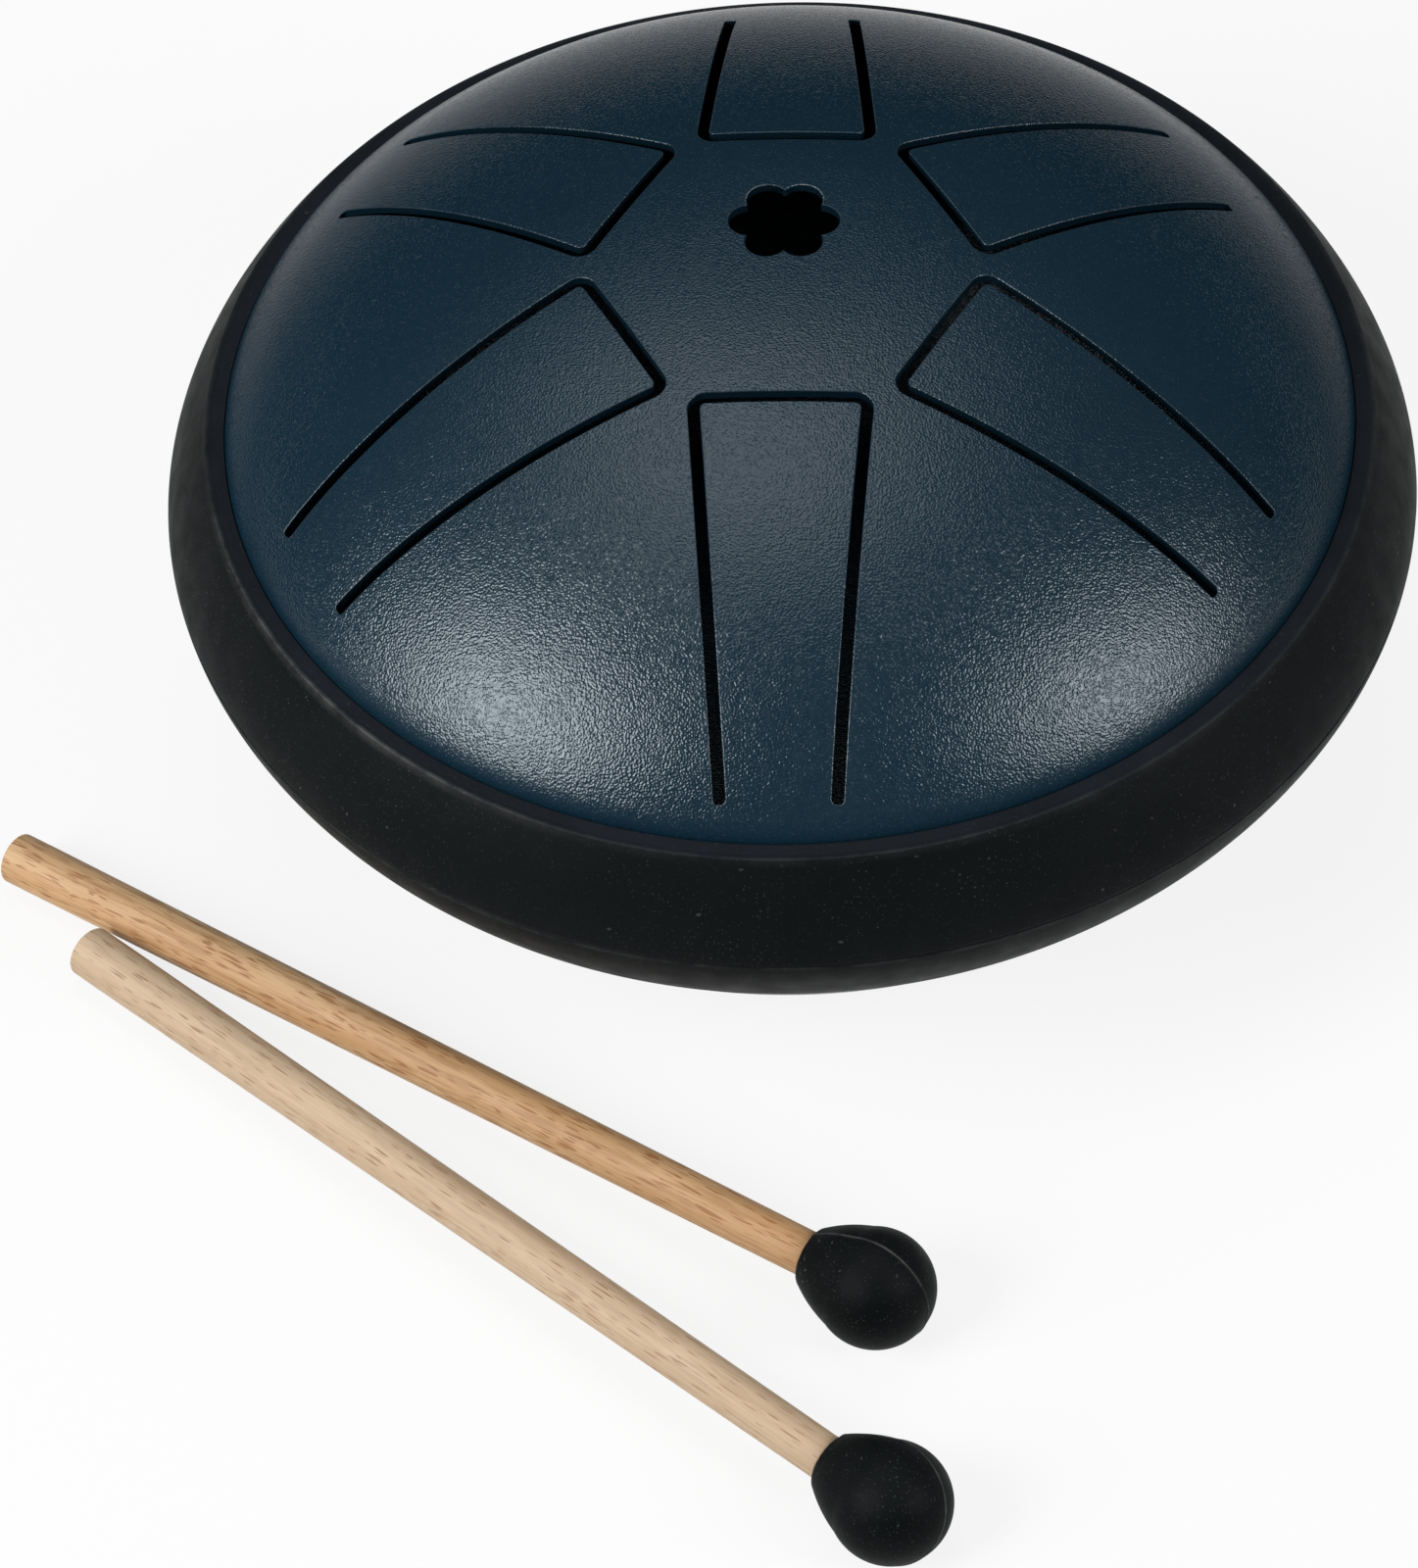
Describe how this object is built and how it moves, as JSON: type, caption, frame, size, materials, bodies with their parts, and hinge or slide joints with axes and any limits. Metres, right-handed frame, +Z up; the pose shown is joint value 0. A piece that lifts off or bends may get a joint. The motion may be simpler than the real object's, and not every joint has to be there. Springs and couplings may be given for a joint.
{
  "type": "tongue drum",
  "caption": "Small steel tongue drum: domed shell with slotted tongues and a sound hole, black rubber rim ring, and a pair of beech mallets with rubber heads.",
  "frame": {"origin": "middle of the bottom shell's flat underside, on the drum's axis", "axes": "+Z up along the drum's axis, -Y towards the longest tongue and the player"},
  "size_m": [0.1718, 0.2073, 0.0763],
  "materials": {
    "navy_steel": "satin powder coat, fine orange peel",
    "ring_rubber": "matte",
    "foot_rubber": "matte",
    "head_rubber": "matte",
    "beech": "sanded, unvarnished"
  },
  "bodies": {
    "drum": {"top_shell": "navy_steel", "bottom_shell": "navy_steel", "rim_ring": "ring_rubber", "foot_1": "foot_rubber", "foot_2": "foot_rubber", "foot_3": "foot_rubber"},
    "tongue_1": {"tongue_1": "navy_steel"},
    "tongue_2": {"tongue_2": "navy_steel"},
    "tongue_3": {"tongue_3": "navy_steel"},
    "tongue_4": {"tongue_4": "navy_steel"},
    "tongue_5": {"tongue_5": "navy_steel"},
    "tongue_6": {"tongue_6": "navy_steel"},
    "mallet_1": {"mallet_1_stick": "beech", "mallet_1_head": "head_rubber"},
    "mallet_2": {"mallet_2_stick": "beech", "mallet_2_head": "head_rubber"}
  },
  "joints": [
    {"name": "tongue_1_bend", "type": "hinge", "parent": "drum", "child": "tongue_1", "pos_m": [0, -0.0643, 0.05153], "axis": [-1, 0, 0], "range_deg": [-1, 1], "stiffness_Nm_per_rad": 30.6},
    {"name": "tongue_2_bend", "type": "hinge", "parent": "drum", "child": "tongue_2", "pos_m": [0.05274, -0.03045, 0.05493], "axis": [-0.5, -0.866, 0], "range_deg": [-1, 1], "stiffness_Nm_per_rad": 33.6},
    {"name": "tongue_3_bend", "type": "hinge", "parent": "drum", "child": "tongue_3", "pos_m": [0.04919, 0.0284, 0.05814], "axis": [0.5, -0.866, 0], "range_deg": [-1, 1], "stiffness_Nm_per_rad": 38.6},
    {"name": "tongue_4_bend", "type": "hinge", "parent": "drum", "child": "tongue_4", "pos_m": [0, 0.0518, 0.06132], "axis": [1, 0, 0], "range_deg": [-1, 1], "stiffness_Nm_per_rad": 46.6},
    {"name": "tongue_5_bend", "type": "hinge", "parent": "drum", "child": "tongue_5", "pos_m": [-0.05049, 0.02915, 0.05705], "axis": [0.5, 0.866, 0], "range_deg": [-1, 1], "stiffness_Nm_per_rad": 36.5},
    {"name": "tongue_6_bend", "type": "hinge", "parent": "drum", "child": "tongue_6", "pos_m": [-0.05421, -0.0313, 0.05336], "axis": [-0.5, 0.866, 0], "range_deg": [-1, 1], "stiffness_Nm_per_rad": 32.2},
    {"name": "mallet_1_lift", "type": "slide", "parent": "drum", "child": "mallet_1", "axis": [-0.1105, -0.1761, 0.9781], "range_m": [0, 0.06]},
    {"name": "mallet_2_lift", "type": "slide", "parent": "drum", "child": "mallet_2", "axis": [-0.1325, -0.1602, 0.9781], "range_m": [0, 0.06]}
  ]
}
